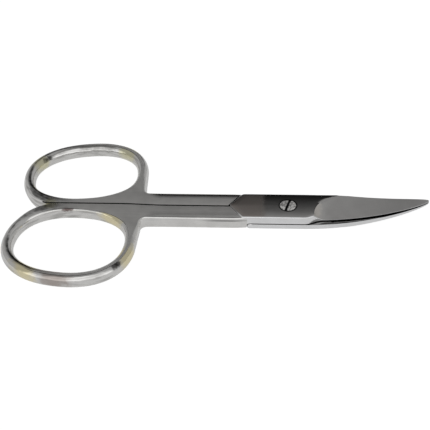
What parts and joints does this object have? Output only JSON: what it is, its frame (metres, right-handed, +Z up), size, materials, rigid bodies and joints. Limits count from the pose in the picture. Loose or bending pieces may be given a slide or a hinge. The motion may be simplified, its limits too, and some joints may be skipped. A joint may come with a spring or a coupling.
{
  "type": "nail scissors",
  "caption": "Curved nail scissors with two crossing steel halves on a slotted pivot screw, each half a finger bow, a shank and a ground blade that bends upwards.",
  "frame": {"origin": "bottom centre of the bounding box of the closed scissors, on the table under the middle of the length", "axes": "+X along the closed scissors from the bows to the blade tips, +Y towards the lower half's bow, +Z up off the table, parallel to the pivot"},
  "size_m": [0.0906, 0.0464, 0.0053],
  "materials": {
    "upper_steel": "polished joint plate and bow, fine satin shank and ground blade",
    "lower_steel": "polished joint plate and bow, fine satin shank and ground blade",
    "screw_steel": "turned, lightly polished head"
  },
  "bodies": {
    "lower": {"lower_half": "lower_steel", "pivot_screw": "screw_steel"},
    "upper": {"upper_half": "upper_steel"}
  },
  "joints": [
    {"name": "blade_pivot", "type": "hinge", "parent": "lower", "child": "upper", "pos_m": [0.01535, 0, 0.0015], "axis": [0, 0, 1], "range_deg": [0, 130]}
  ]
}
